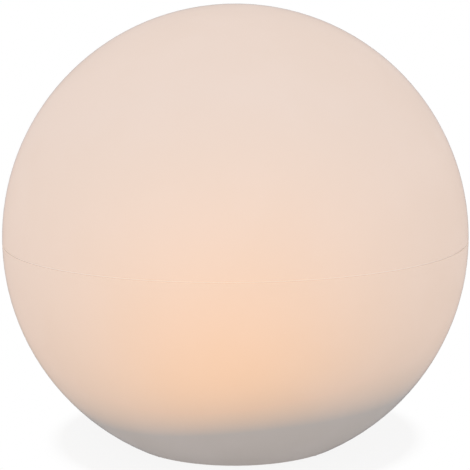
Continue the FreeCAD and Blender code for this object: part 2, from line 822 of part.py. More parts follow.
def led_lead(side):
    """Lead from the control board up through the heat sink to the LED board."""
    level = plate_top_z - plate_thickness - led_lead_level
    return lead([(side * led_lead_start, led_lead_side, board_top_z),
                 (side * led_lead_start, led_lead_side, level),
                 (side * led_lead_offset, led_lead_side, level),
                 (side * led_lead_offset, led_lead_side, plate_top_z)])


# ---------------------------------------------------------------- light head
def housing_gasket():
    """Rubber ring on top of the housing's wall."""
    return ring(housing_radius, gasket_inner, housing_top_z, plate_z)


def reflector_plate():
    """White plate that closes the housing and throws light upwards."""
    plate = ring(housing_radius, plate_opening, plate_z, plate_top_z)
    skirt_outer = housing_inner - slip_gap
    skirt = ring(skirt_outer, skirt_outer - plate_skirt_wall, plate_z - plate_skirt, plate_z)
    room = disc(head_boss_radius + slip_gap, plate_z - plate_skirt - 1.0, plate_z, head_screw_circle)
    skirt = cut_all(skirt, around(room, head_screw_count))
    hole = disc(SCREW_SMALL[0] + shank_fit, plate_z - 1.0, plate_top_z + 1.0, head_screw_circle)
    return cut_all(fuse([plate, skirt]), around(hole, head_screw_count))


def heat_sink():
    """Aluminium sink that carries the LED board, with fins below."""
    base = disc(sink_base_radius, sink_z, plate_z)
    plateau = disc(plate_opening - slip_gap, plate_z, plate_top_z)
    pieces = [base, plateau]
    count = int(sink_fin_radius / sink_fin_pitch)
    for index in range(-count + 1, count):
        y = index * sink_fin_pitch
        half = math.sqrt(sink_fin_radius ** 2 - y ** 2)
        pieces.append(block(2.0 * half, sink_fin_thickness, fin_z, sink_z, 0.0, y))
    body = fuse(pieces)
    pilot = disc(SCREW_SMALL[0] + thread_fit, sink_z + sink_skin, plate_top_z + 1.0, led_screw_circle)
    tools = around(pilot, led_screw_count, led_screw_start)
    for side in (-1.0, 1.0):
        tools.append(disc(lead_radius + lead_hole_gap, sink_z - 1.0, plate_top_z + 1.0,
                          side * led_lead_offset, led_lead_side))
    return cut_all(body, tools)


def led_board():
    """Aluminium circuit board of the LEDs."""
    sheet = disc(led_board_radius, plate_top_z, led_top_z)
    hole = disc(SCREW_SMALL[0] + shank_fit, plate_top_z - 1.0, led_top_z + 1.0, led_screw_circle)
    return cut_all(sheet, around(hole, led_screw_count, led_screw_start))


def led(x):
    """One LED package with its round lens."""
    body = block(led_side, led_side, led_top_z, led_top_z + led_height, x)
    return fuse([body, disc(led_lens_radius, led_top_z, led_top_z + led_height + led_lens_height, x)])


def leds():
    """Ring of LEDs with one in the middle."""
    return Part.makeCompound(around(led(led_circle), led_count) + [led(0.0)])


def led_board_screws():
    """Screws of the LED board."""
    one = screw(SCREW_SMALL, led_screw_length, led_screw_circle, 0.0, led_top_z)
    return Part.makeCompound(around(one, led_screw_count, led_screw_start))


def dome_gasket():
    """Rubber ring under the dome's flange."""
    return ring(dome_flange_radius, dome_flange_radius - dome_gasket_width, plate_top_z, dome_seat_z)


def diffuser_dome():
    """Opal dome over the LEDs."""
    radius = (dome_radius ** 2 + dome_height ** 2) / (2.0 * dome_height)
    centre_z = dome_flange_top_z + dome_height - radius
    inner = radius - dome_wall
    foot_outer = (dome_radius, dome_flange_top_z)
    foot_inner = on_circle(centre_z, inner, dome_seat_z)
    edges = [arc(centre_z, radius, foot_outer, (0.0, centre_z + radius))]
    edges.append(line((0.0, centre_z + radius), (0.0, centre_z + inner)))
    edges.append(arc(centre_z, inner, (0.0, centre_z + inner), foot_inner))
    edges += polyline([foot_inner, (dome_flange_radius, dome_seat_z),
                       (dome_flange_radius, dome_flange_top_z), foot_outer])
    return revolve(edges)


def dome_ring():
    """Ring that holds the dome down and closes the top of the unit."""
    edges = polyline([(ring_bore, plate_top_z), (housing_radius, plate_top_z),
                      (housing_radius, ring_top_z - ring_chamfer),
                      (housing_radius - ring_chamfer, ring_top_z), (ring_inner, ring_top_z),
                      (ring_inner, dome_flange_top_z), (ring_bore, dome_flange_top_z),
                      (ring_bore, plate_top_z)])
    body = revolve(edges)
    hole = disc(SCREW_SMALL[0] + shank_fit, plate_top_z - 1.0, ring_top_z + 1.0, head_screw_circle)
    counterbore = disc(SCREW_SMALL[1] + head_fit, ring_top_z - SCREW_SMALL[2], ring_top_z + 1.0,
                       head_screw_circle)
    return cut_all(body, around(hole, head_screw_count) + around(counterbore, head_screw_count))


def dome_ring_screws():
    """Screws through the ring and the plate into the housing."""
    one = screw(SCREW_SMALL, head_screw_length, head_screw_circle, 0.0, ring_top_z - SCREW_SMALL[2])
    return Part.makeCompound(around(one, head_screw_count))


# ---------------------------------------------------------------- build
NODES = {
    "lower_shell": lower_shell, "upper_shell": upper_shell, "seam_seal": seam_seal,
    "rubber_feet": rubber_feet, "module_housing": module_housing, "module_gasket": module_gasket,
    "module_screws": module_screws, "power_button": power_button, "button_seal": button_seal,
    "power_switch": power_switch, "switch_plunger": switch_plunger, "button_spring": button_spring,
    "charge_socket": charge_socket, "socket_tongue": socket_tongue, "charge_plug": charge_plug,
    "plug_tether": plug_tether, "control_board": control_board, "board_chips": board_chips,
    "board_capacitors": board_capacitors, "board_choke": board_choke, "cradle_screws": cradle_screws,
    "battery_cradle": battery_cradle, "battery_cells": battery_cells,
    "positive_contact": positive_contact, "negative_contact": negative_contact,
    "negative_springs": negative_springs, "battery_retainer": battery_retainer,
    "retainer_screws": retainer_screws, "housing_gasket": housing_gasket,
    "reflector_plate": reflector_plate, "heat_sink": heat_sink, "led_board": led_board,
    "leds": leds, "led_board_screws": led_board_screws, "dome_gasket": dome_gasket,
    "diffuser_dome": diffuser_dome, "dome_ring": dome_ring, "dome_ring_screws": dome_ring_screws,
    "battery_lead_positive": lambda: battery_lead(cell_back_y + contact_sheet, 1.0),
    "battery_lead_negative": lambda: battery_lead(front_wall_y, -1.0),
    "led_lead_positive": lambda: led_lead(1.0),
    "led_lead_negative": lambda: led_lead(-1.0),
}

os.makedirs("parts", exist_ok=True)
for name, make in NODES.items():
    solid = make()
    solid.exportStep("parts/" + name + ".step")
    print(name, "solids", len(solid.Solids), "valid", solid.isValid(),
          "volume %.1f mm3" % solid.Volume, "z %.2f to %.2f" % (solid.BoundBox.ZMin, solid.BoundBox.ZMax))
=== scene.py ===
# %% [markdown]
# # A garden globe light
#
# The object is a ball of translucent white plastic, 300 mm across, in two halves that meet in a fine
# seam. A sealed lamp unit stands in its floor. The imported CAD model already holds every piece at its
# real size, and the curved faces of its shells are fine enough to look smooth. So this lesson gives
# each piece its finish, puts a copy of one spring in its place, paints the lamp's glow into the wall
# of the ball as emission, and sets up a plain white studio around it.

# %% Load the frame
import math

import bmesh
import bpy
from mathutils import Matrix, Vector


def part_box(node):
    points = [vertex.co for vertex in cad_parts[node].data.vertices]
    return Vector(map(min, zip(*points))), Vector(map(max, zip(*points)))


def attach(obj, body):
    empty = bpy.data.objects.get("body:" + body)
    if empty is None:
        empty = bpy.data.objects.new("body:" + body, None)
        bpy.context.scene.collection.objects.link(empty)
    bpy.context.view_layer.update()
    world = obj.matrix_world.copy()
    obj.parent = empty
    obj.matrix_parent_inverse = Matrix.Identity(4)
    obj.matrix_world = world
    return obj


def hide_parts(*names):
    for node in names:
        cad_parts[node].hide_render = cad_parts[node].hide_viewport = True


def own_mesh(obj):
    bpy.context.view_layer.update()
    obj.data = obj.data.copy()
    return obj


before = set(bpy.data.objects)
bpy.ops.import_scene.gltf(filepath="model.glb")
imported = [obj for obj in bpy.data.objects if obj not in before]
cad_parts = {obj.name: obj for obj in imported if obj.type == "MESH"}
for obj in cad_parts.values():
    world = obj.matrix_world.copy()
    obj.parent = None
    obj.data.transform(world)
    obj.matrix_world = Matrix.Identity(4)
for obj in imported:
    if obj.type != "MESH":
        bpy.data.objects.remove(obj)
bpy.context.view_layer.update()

# %% [markdown]
# ## The sizes that everything follows
#
# The ball's place comes from the frame. Its radius is half the width of the upper shell, and its
# crown is the top of that shell, so its centre lies one radius below. The height of the seal gives
# the width of the seam. Working from these keeps the glow, the seam and the camera right if the CAD
# sizes change.

# %% Ball and seam
shell_low, shell_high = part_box("upper_shell")
seal_low, seal_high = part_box("seam_seal")
BALL_RADIUS = 0.5 * (shell_high.x - shell_low.x)
SEAM_HALF_GAP = 0.5 * (seal_high.z - seal_low.z) / BALL_RADIUS
ball_centre = Vector((0.0, 0.0, shell_high.z - BALL_RADIUS))
print("radius", round(BALL_RADIUS, 4), "m, centre at a height of", round(ball_centre.z, 4), "m")

# %% [markdown]
# ## The camera
#
# The outline of the ball, the ellipse of the seam and the flat foot in the photograph fix the camera:
# seven radii away, almost ten degrees above the seam, turned half a degree about its own axis. The
# picture is 470 pixels wide. The ball's centre lies a little below the picture's centre, which a small
# lens shift gives without tilting the camera. Angles are in radians.

# %% Camera
PICTURE_WIDTH = 470.0
PICTURE_CENTRE_PIXEL = (234.5, 234.5)
BALL_CENTRE_PIXEL = (234.85, 236.35)
FOCAL_PIXELS = 1616.0
SENSOR_WIDTH_MM = 36.0
CAMERA_DISTANCE = 7.0 * BALL_RADIUS
CAMERA_ELEVATION = 0.1718
CAMERA_ROLL = 0.0085


def placed(place, look, roll=0.0):
    """The matrix of a camera or a lamp: where it stands, along what it looks, and its own roll."""
    turn = look.to_track_quat("-Z", "Y").to_matrix().to_4x4()
    return Matrix.Translation(place) @ turn @ Matrix.Rotation(roll, 4, "Z")


camera_data = bpy.data.cameras.new("camera")
camera_data.sensor_width = SENSOR_WIDTH_MM
camera_data.lens = SENSOR_WIDTH_MM * FOCAL_PIXELS / PICTURE_WIDTH
camera_data.shift_x = (PICTURE_CENTRE_PIXEL[0] - BALL_CENTRE_PIXEL[0]) / PICTURE_WIDTH
camera_data.shift_y = (BALL_CENTRE_PIXEL[1] - PICTURE_CENTRE_PIXEL[1]) / PICTURE_WIDTH
camera = bpy.data.objects.new("camera", camera_data)
bpy.context.scene.collection.objects.link(camera)
towards_camera = Vector((0.0, -math.cos(CAMERA_ELEVATION), math.sin(CAMERA_ELEVATION)))
camera_place = ball_centre + towards_camera * CAMERA_DISTANCE
camera.matrix_world = placed(camera_place, -towards_camera, -CAMERA_ROLL)
bpy.context.scene.camera = camera
print("lens", round(camera_data.lens, 1), "mm, camera at", [round(part, 3) for part in camera_place])

# %% [markdown]
# ## Nodes in a few words
#
# A material is a net of nodes, and most of the script's work is to add nodes and join their sockets.
# A few helpers keep that short. A value in a call is a plain number, vector or colour, or else the
# output of another node, and plug finds out which.

# %% Helpers for nodes
def plug(tree, socket, value):
    """Gives a socket the output of another node, or a plain number, vector or colour."""
    if isinstance(value, bpy.types.NodeSocket):
        tree.links.new(value, socket)
    elif socket.type == "RGBA":
        socket.default_value = (*value, 1.0)
    else:
        socket.default_value = value


def set_sockets(tree, node, values):
    """Plugs several sockets of one node by their names."""
    for name, value in values.items():
        plug(tree, node.inputs[name], value)


def add_node(tree, kind, values=None, **settings):
    """Adds a node, sets its properties and plugs the sockets that are named."""
    node = tree.nodes.new(kind)
    for name, value in settings.items():
        setattr(node, name, value)
    set_sockets(tree, node, values or {})
    return node


def math_node(tree, operation, *values, clamp=False):
    """A Math node on one or two values."""
    node = add_node(tree, "ShaderNodeMath", operation=operation, use_clamp=clamp)
    for socket, value in zip(node.inputs, values):
        plug(tree, socket, value)
    return node.outputs[0]


def vector_node(tree, operation, *values):
    """A Vector Math node. A length or a dot product is a number, on its second output."""
    node = add_node(tree, "ShaderNodeVectorMath", operation=operation)
    for socket, value in zip(node.inputs, values):
        plug(tree, socket, value)
    return node.outputs[1] if operation in ("LENGTH", "DOT_PRODUCT") else node.outputs[0]


print("helpers for sockets, nodes, numbers and vectors")

# %% [markdown]
# ## Effects that materials share
#
# An effect that several materials use is built once as a node group with named sockets, and each
# material places it with its own values. A group puts out only values and colours. The shader itself
# stays in each material, where the exporter can read it.

# %% Helper for node groups
NUMBER = "NodeSocketFloat"
COLOUR = "NodeSocketColor"


def start_group(name, inputs, outputs):
    """An empty node group, the values that it is given and the values that it has to put out."""
    group = bpy.data.node_groups.new(name, "ShaderNodeTree")
    for side, sockets in (("INPUT", inputs), ("OUTPUT", outputs)):
        for title, kind in sockets.items():
            group.interface.new_socket(name=title, in_out=side, socket_type=kind)
    given = group.nodes.new("NodeGroupInput").outputs
    wanted = group.nodes.new("NodeGroupOutput").inputs
    return group, given, wanted


print("sockets of a group are", NUMBER, "or", COLOUR)

# %% [markdown]
# ## The grain of a moulded surface
#
# Moulded plastic is never quite smooth: it has a fine grain, and broad soft waves under it. Both are
# noise, so the first group adds them up to a height. Its size is the size of the grain in metres, and
# its waviness is how much the waves count.

# %% Grain as a node group
FINE_DETAIL = 2.0
WAVE_DETAIL = 1.0
WAVE_SCALE = 0.12


def noise_node(tree, scale, detail):
    """Noise in the object's own coordinates, with so many lumps to the metre."""
    place = add_node(tree, "ShaderNodeTexCoord").outputs["Object"]
    values = {"Vector": place, "Scale": scale, "Detail": detail}
    return add_node(tree, "ShaderNodeTexNoise", values).outputs["Fac"]


grain, given, wanted = start_group("moulded_grain", {"Size": NUMBER, "Waviness": NUMBER},
                                   {"Height": NUMBER})
per_metre = math_node(grain, "DIVIDE", 1.0, given["Size"])
fine = noise_node(grain, per_metre, FINE_DETAIL)
waves = noise_node(grain, math_node(grain, "MULTIPLY", per_metre, WAVE_SCALE), WAVE_DETAIL)
waves = math_node(grain, "MULTIPLY", waves, given["Waviness"])
plug(grain, wanted["Height"], math_node(grain, "ADD", fine, waves))
print(grain.name, "has", len(grain.nodes), "nodes")

# %% [markdown]
# ## The tone of a surface
#
# A real surface is a little darker here and a little rougher there. The second group makes soft
# patches of noise, and goes from a light to a dark colour, and from a smooth to a worn roughness, by
# the same patches. The two then agree, as they do where a hand has rubbed a surface.

# %% Tone as a node group
PATCH_DETAIL = 4.0
PATCH_EDGES = (0.35, 0.65)
MIX_SOCKETS = {"FLOAT": (2, 3, 0), "RGBA": (6, 7, 2)}


def range_node(tree, value, low, high, shape="LINEAR"):
    """Goes from 0 at low to 1 at high, in a straight line or with soft ends."""
    values = {"Value": value, "From Min": low, "From Max": high}
    return add_node(tree, "ShaderNodeMapRange", values, interpolation_type=shape).outputs["Result"]


def mix_node(tree, kind, share, first, second):
    """Goes from the first number or colour to the second. Each kind has its own sockets."""
    node = add_node(tree, "ShaderNodeMix", {"Factor": share}, data_type=kind)
    first_socket, second_socket, result_socket = MIX_SOCKETS[kind]
    plug(tree, node.inputs[first_socket], first)
    plug(tree, node.inputs[second_socket], second)
    return node.outputs[result_socket]


tone, given, wanted = start_group(
    "surface_tone",
    {"Light": COLOUR, "Dark": COLOUR, "Size": NUMBER, "Smooth": NUMBER, "Worn": NUMBER},
    {"Color": COLOUR, "Roughness": NUMBER})
cloud = noise_node(tone, math_node(tone, "DIVIDE", 1.0, given["Size"]), PATCH_DETAIL)
patch = range_node(tone, cloud, *PATCH_EDGES, shape="SMOOTHSTEP")
plug(tone, wanted["Color"], mix_node(tone, "RGBA", patch, given["Light"], given["Dark"]))
plug(tone, wanted["Roughness"], mix_node(tone, "FLOAT", patch, given["Smooth"], given["Worn"]))
print(tone.name, "has", len(tone.nodes), "nodes")

# %% [markdown]
# ## Finishes
#
# Most pieces are moulded plastic, rubber or metal. They differ in colour, gloss and the size of their
# grain, so one function places the two groups and takes those values. Roughness is a pair, for the
# smooth and the worn patches, and the sizes are in metres. Metal is the same surface with Metallic
# set on the shader's own socket.

# %% A finish from the shared groups
WAVINESS = 0.3
BUMP_STRENGTH = 0.6


def finish(name, light, dark, roughness, tone_size, grain_size, grain_depth, metallic=0.0):
    """A Principled material whose colour, roughness and bump come from the shared groups."""
    material = bpy.data.materials.new(name)
    material.use_nodes = True
    tree = material.node_tree
    smooth, worn = roughness
    patches = {"Light": light, "Dark": dark, "Size": tone_size, "Smooth": smooth, "Worn": worn}
    surface = add_node(tree, "ShaderNodeGroup", patches, node_tree=tone).outputs
    relief = {"Size": grain_size, "Waviness": WAVINESS}
    height = add_node(tree, "ShaderNodeGroup", relief, node_tree=grain).outputs["Height"]
    bump = {"Strength": BUMP_STRENGTH, "Distance": grain_depth, "Height": height}
    normal = add_node(tree, "ShaderNodeBump", bump).outputs["Normal"]
    set_sockets(tree, tree.nodes["Principled BSDF"], {
        "Base Color": surface["Color"], "Roughness": surface["Roughness"], "Metallic": metallic,
        "Normal": normal})
    return material


def dress(material, *nodes):
    """Puts one material on CAD nodes."""
    for node in nodes:
        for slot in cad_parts[node].material_slots:
            slot.material = material
    print(material.name, "is on", ", ".join(nodes))


# %% [markdown]
# ## Rubber and plastic
#
# The gaskets, the feet and the plug of the charging socket are black rubber, rough with a soft bloom.
# The housing of the lamp unit is white plastic with a fine texture. Inside it, the pieces that hold
# the cells, the switch and the tongue of the socket are black. The button is grey and a little
# smoother. The reflector and the ring over it are glossy white, because they throw the light upwards.

# %% Rubber and plastic
dress(finish("black_rubber", light=(0.030, 0.029, 0.028), dark=(0.055, 0.053, 0.050),
             roughness=(0.62, 0.80), tone_size=0.012, grain_size=0.0006, grain_depth=0.00005),
      "module_gasket", "housing_gasket", "dome_gasket", "button_seal", "rubber_feet", "charge_plug",
      "plug_tether")
dress(finish("housing_plastic", light=(0.80, 0.80, 0.79), dark=(0.74, 0.74, 0.73),
             roughness=(0.42, 0.55), tone_size=0.030, grain_size=0.0007, grain_depth=0.00004),
      "module_housing")
dress(finish("black_plastic", light=(0.020, 0.020, 0.022), dark=(0.035, 0.035, 0.036),
             roughness=(0.40, 0.55), tone_size=0.020, grain_size=0.0006, grain_depth=0.00004),
      "battery_cradle", "battery_retainer", "power_switch", "socket_tongue")
dress(finish("grey_plastic", light=(0.36, 0.37, 0.38), dark=(0.30, 0.31, 0.32),
             roughness=(0.28, 0.42), tone_size=0.010, grain_size=0.0008, grain_depth=0.00002),
      "power_button", "switch_plunger")
dress(finish("white_gloss_plastic", light=(0.86, 0.86, 0.85), dark=(0.81, 0.81, 0.79),
             roughness=(0.18, 0.30), tone_size=0.040, grain_size=0.0012, grain_depth=0.00002),
      "reflector_plate", "dome_ring")

# %% [markdown]
# ## Boards, cells and leads
#
# The control board has green solder mask, and the board of the LEDs a white one that throws light
# back. Chips and choke are black epoxy. The cells have a blue wrap, and the leads red and black
# insulation for plus and minus.

# %% Boards, cells and leads
dress(finish("green_board", light=(0.020, 0.130, 0.045), dark=(0.012, 0.090, 0.030),
             roughness=(0.30, 0.42), tone_size=0.008, grain_size=0.0005, grain_depth=0.00002),
      "control_board")
dress(finish("white_board", light=(0.82, 0.82, 0.80), dark=(0.76, 0.76, 0.73),
             roughness=(0.34, 0.46), tone_size=0.008, grain_size=0.0005, grain_depth=0.00002),
      "led_board")
dress(finish("black_epoxy", light=(0.018, 0.018, 0.018), dark=(0.028, 0.028, 0.028),
             roughness=(0.45, 0.60), tone_size=0.004, grain_size=0.0003, grain_depth=0.00002),
      "board_chips", "board_choke")
dress(finish("cell_wrap", light=(0.030, 0.130, 0.300), dark=(0.022, 0.100, 0.240),
             roughness=(0.25, 0.35), tone_size=0.015, grain_size=0.0010, grain_depth=0.00002),
      "battery_cells")
dress(finish("red_lead", light=(0.50, 0.022, 0.016), dark=(0.40, 0.016, 0.012),
             roughness=(0.38, 0.50), tone_size=0.006, grain_size=0.0008, grain_depth=0.00002),
      "battery_lead_positive", "led_lead_positive")
dress(finish("black_lead", light=(0.020, 0.020, 0.020), dark=(0.034, 0.034, 0.034),
             roughness=(0.38, 0.50), tone_size=0.006, grain_size=0.0008, grain_depth=0.00002),
      "battery_lead_negative", "led_lead_negative")

# %% [markdown]
# ## Metal
#
# The heat sink and the cans of the capacitors are plain aluminium, and the screws are steel.
# Contacts, springs and the socket's shroud are plated with nickel, which is warmer and smoother. The
# nickel gets a name of its own, because the next step needs it again.

# %% Metal
dress(finish("aluminium", light=(0.72, 0.73, 0.74), dark=(0.62, 0.63, 0.64), roughness=(0.30, 0.44),
             tone_size=0.006, grain_size=0.0005, grain_depth=0.00003, metallic=1.0),
      "heat_sink", "board_capacitors")
dress(finish("screw_steel", light=(0.60, 0.59, 0.57), dark=(0.46, 0.45, 0.43), roughness=(0.28, 0.42),
             tone_size=0.003, grain_size=0.0003, grain_depth=0.00003, metallic=1.0),
      "module_screws", "cradle_screws", "retainer_screws", "led_board_screws", "dome_ring_screws")
nickel = finish("nickel_plate", light=(0.66, 0.62, 0.55), dark=(0.56, 0.52, 0.45),
                roughness=(0.22, 0.34), tone_size=0.004, grain_size=0.0004, grain_depth=0.00002,
                metallic=1.0)
dress(nickel, "positive_contact", "negative_contact", "negative_springs", "button_spring",
      "charge_socket")

# %% [markdown]
# ## The spring behind the button
#
# The button under the lamp unit slides 1.5 mm upwards, and a coil spring between its flange and the
# control board pushes it back. A CAD node keeps its shape at every pose, so a pressed button would
# cut into the spring. A copy of the spring takes its place here. Its loose triangles are merged into
# one closed skin, which is smooth along the wire and sharp only at the wire's two ends. The normals
# that came with the loose triangles no longer fit it, so they are taken off. The copy rides on the
# base of the lamp.

# %% A copy of the spring
MERGE_DISTANCE = 0.000001
SHARP_ANGLE = math.radians(40.0)

coil = bmesh.new()
coil.from_mesh(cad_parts["button_spring"].data)
bmesh.ops.remove_doubles(coil, verts=coil.verts, dist=MERGE_DISTANCE)
for coil_edge in coil.edges:
    coil_edge.smooth = coil_edge.calc_face_angle(0.0) < SHARP_ANGLE
coil_mesh = bpy.data.meshes.new("return_spring")
coil.to_mesh(coil_mesh)
coil.free()
old_normals = coil_mesh.attributes.get("custom_normal")
if old_normals:
    coil_mesh.attributes.remove(old_normals)
coil_mesh.materials.clear()
coil_mesh.materials.append(nickel)
return_spring = bpy.data.objects.new("return_spring", coil_mesh)
bpy.context.scene.collection.objects.link(return_spring)
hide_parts("button_spring")
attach(return_spring, "lamp_base")
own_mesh(return_spring)

# %% [markdown]
# ## The opal dome and the LEDs
#
# The dome glows because the LEDs under it do. It is brightest over the ring of LEDs, so its emission
# follows the distance from the axis. The LEDs are small warm yellow squares that shine hard.

# %% Glowing pieces
GLOWING_DARKER = 0.94
GLOWING_ROUGHER = 0.1
GLOWING_GRAIN = {"tone_size": 0.02, "grain_size": 0.0012, "grain_depth": 0.00002}


def glowing(name, base, roughness, inner_colour, outer_colour, reach, strength):
    """A plastic that shines: inner colour at the lamp's axis, outer colour at reach and beyond."""
    dark = tuple(GLOWING_DARKER * part for part in base)
    material = finish(name, base, dark, (roughness, roughness + GLOWING_ROUGHER), **GLOWING_GRAIN)
    tree = material.node_tree
    place = add_node(tree, "ShaderNodeTexCoord").outputs["Object"]
    flat = vector_node(tree, "MULTIPLY", place, (1.0, 1.0, 0.0))
    share = math_node(tree, "DIVIDE", vector_node(tree, "LENGTH", flat), reach, clamp=True)
    set_sockets(tree, tree.nodes["Principled BSDF"], {
        "Emission Color": mix_node(tree, "RGBA", share, inner_colour, outer_colour),
        "Emission Strength": strength})
    return material


dress(glowing("opal_dome", base=(0.85, 0.80, 0.72), roughness=0.30, inner_colour=(1.0, 0.72, 0.42),
              outer_colour=(1.0, 0.58, 0.28), reach=0.036, strength=1.6),
      "diffuser_dome")
dress(glowing("led_phosphor", base=(0.85, 0.70, 0.30), roughness=0.35, inner_colour=(1.0, 0.80, 0.50),
              outer_colour=(1.0, 0.75, 0.42), reach=0.020, strength=6.0),
      "leds")

# %% [markdown]
# ## The glow painted into the wall of the ball
#
# The plastic wall is opal, so light from the lamp spreads inside it. That light is painted into the
# wall as emission. Light that has bounced about inside gives an even pinkish tone. The lamp adds a
# painted warm pool, a painted shadow ends the glow near the foot, and the walls of the seam get
# painted shade. The next steps build these three in one node group. Each is a mask from the object's
# own coordinates. The group first moves the origin to the centre of the ball and measures in radii.

# %% Start of the glow's node group
glow, _, wanted = start_group("lamp_glow", {}, {"Pool": NUMBER, "Lit": NUMBER, "Groove": NUMBER})
place = add_node(glow, "ShaderNodeTexCoord").outputs["Object"]
centred = vector_node(glow, "SUBTRACT", place, tuple(ball_centre))
unit = add_node(glow, "ShaderNodeVectorMath", {"Vector": centred, "Scale": 1.0 / BALL_RADIUS},
                operation="SCALE").outputs["Vector"]
unit_x, _, unit_z = add_node(glow, "ShaderNodeSeparateXYZ", {"Vector": unit}).outputs
print("one unit in the glow is", round(BALL_RADIUS, 4), "m")

# %% [markdown]
# ## The warm pool
#
# The lamp's light is painted onto the wall as a pool that falls off with the square of its distance,
# and with the slant at which it meets the wall. A part of it goes evenly to all sides. The other part
# is a painted bright spot on the side of the ball that faces the camera, at the camera's elevation.

# %% Pool of light around the lamp
LAMP_SPOT = (-0.008, 0.0, -0.500)
# The painted bright spot points at the camera: its rise is the camera's elevation.
LOBE_RISE = 0.1718
LOBE_DIRECTION = (0.0, -math.cos(LOBE_RISE), math.sin(LOBE_RISE))
LOBE_POWER = 6.7
LOBE_SHARE = 0.217
EVEN_SHARE = 0.183

outward = vector_node(glow, "NORMALIZE", unit)
from_lamp = vector_node(glow, "SUBTRACT", outward, LAMP_SPOT)
far = vector_node(glow, "LENGTH", from_lamp)
ray = vector_node(glow, "NORMALIZE", from_lamp)
slant = vector_node(glow, "DOT_PRODUCT", ray, outward)
spread_light = math_node(glow, "DIVIDE", slant, math_node(glow, "MULTIPLY", far, far))
forwards = math_node(glow, "MAXIMUM", vector_node(glow, "DOT_PRODUCT", ray, LOBE_DIRECTION), 0.0)
lobe = math_node(glow, "MULTIPLY", math_node(glow, "POWER", forwards, LOBE_POWER), LOBE_SHARE)
share = math_node(glow, "ADD", lobe, EVEN_SHARE)
plug(glow, wanted["Pool"], math_node(glow, "MULTIPLY", spread_light, share))
print("lamp at", LAMP_SPOT, "in radii from the centre")

# %% [markdown]
# ## The cut-off near the foot
#
# Near the foot the wall is below the rim of the lamp unit, so a painted shadow edge cuts the glow off
# and leaves plastic with only a trace of painted light in it. The edge is slightly tilted and has
# gentle bends. Its height is a sum of powers of x, worked out from the highest power down. Above it
# the painted light comes back in two parts: one rises quickly, within two fifths of the radius, and
# the other slowly, over the whole lower half.

# %% Edge of the cut-off
CUT_HEIGHT = -0.6574
CUT_TILT = 0.113
CUT_BENDS = (-0.0975, -0.117, 0.177)
NEAR_RISE = (0.42, 3.24)
FAR_RISE = (1.09, 2.0)
NEAR_RISE_SHARE = 0.484


def rise(tree, height, width, power):
    """Goes from 0 at no height to 1 at width: steep at first, then flatter."""
    missing = math_node(tree, "SUBTRACT", 1.0, math_node(tree, "DIVIDE", height, width, clamp=True))
    return math_node(tree, "SUBTRACT", 1.0, math_node(tree, "POWER", missing, power))


edge = 0.0
for factor in reversed((CUT_HEIGHT, CUT_TILT, *CUT_BENDS)):
    edge = math_node(glow, "ADD", math_node(glow, "MULTIPLY", unit_x, edge), factor)
above = math_node(glow, "SUBTRACT", unit_z, edge)
near_part = math_node(glow, "MULTIPLY", rise(glow, above, *NEAR_RISE), NEAR_RISE_SHARE)
far_part = math_node(glow, "MULTIPLY", rise(glow, above, *FAR_RISE), 1.0 - NEAR_RISE_SHARE)
plug(glow, wanted["Lit"], math_node(glow, "ADD", near_part, far_part))
print("cut-off about", round(1000.0 * (ball_centre.z + CUT_HEIGHT * BALL_RADIUS), 1), "mm above the ground")

# %% [markdown]
# ## The seam
#
# The seam's two facing walls get painted shade, a dim, cooler glow, while the chamfers beside it
# and the seal behind it carry the painted light from inside. Seen straight on, the seal fills the gap
# with the colour of the wall and the seam almost vanishes. Towards the sides of the ball the gap is
# seen along its walls, so it turns dark. The mask marks what lies deeper than the chamfers and close
# to the gap, where the shade is painted.

# %% Shaded walls of the seam
CHAMFER_DEPTH = 0.0020
GROOVE_REACH = 1.2 * SEAM_HALF_GAP

depth = math_node(glow, "SUBTRACT", 1.0, vector_node(glow, "LENGTH", unit))
behind = math_node(glow, "GREATER_THAN", depth, CHAMFER_DEPTH)
beside = math_node(glow, "LESS_THAN", math_node(glow, "ABSOLUTE", unit_z), GROOVE_REACH)
plug(glow, wanted["Groove"], math_node(glow, "MULTIPLY", behind, beside))
print(glow.name, "has", len(glow.nodes), "nodes")

# %% [markdown]
# ## Opal plastic with the glow in it
#
# The two shells and the seal between them share one kind of material, with the lamp's light and shade
# painted in as emission. The masks choose between four painted colours: far from the lamp, near it,
# unlit in the painted shadow, and painted shade in the groove.
#
# The wall has a clear outer skin, made with the shader's coat. The skin does not bend or mirror light,
# and only tints it a little. Light that leaves at a slant goes through more of it, so the ball gets a
# touch darker towards its outline, as the photograph shows.

# %% Opal plastic
POOL_RANGE = (0.098, 0.446)
# The unlit colour is a painted shadow below the cut-off, and the groove colour is painted shade on the
# seam's walls.
UNLIT_COLOUR = (0.085, 0.054, 0.037)
GROOVE_SHADE_COLOUR = (0.056, 0.084, 0.080)
OPAL_SURFACE = {"light": (0.625, 0.625, 0.625), "dark": (0.615, 0.615, 0.610),
                "roughness": (0.55, 0.66), "tone_size": 0.050, "grain_size": 0.0011,
                "grain_depth": 0.00002}
OPAL_SPECULAR = 0.10
SKIN_INDEX = 1.0
SKIN_TINT = (0.983, 0.984, 0.986)


def glowing_opal(name, near, far, groove_shade):
    """Opal plastic with the lamp's glow painted in it. Groove shade is how far the painted shade dims the
    seam's walls.
    """
    material = finish(name, **OPAL_SURFACE)
    tree = material.node_tree
    light = add_node(tree, "ShaderNodeGroup", node_tree=glow).outputs
    warm = mix_node(tree, "RGBA", range_node(tree, light["Pool"], *POOL_RANGE), far, near)
    cut = mix_node(tree, "RGBA", light["Lit"], UNLIT_COLOUR, warm)
    shade = math_node(tree, "MULTIPLY", light["Groove"], groove_shade)
    set_sockets(tree, tree.nodes["Principled BSDF"], {
        "Specular IOR Level": OPAL_SPECULAR,
        "Coat Weight": 1.0, "Coat IOR": SKIN_INDEX, "Coat Tint": SKIN_TINT,
        "Emission Color": mix_node(tree, "RGBA", shade, cut, GROOVE_SHADE_COLOUR), "Emission Strength": 1.0})
    return material
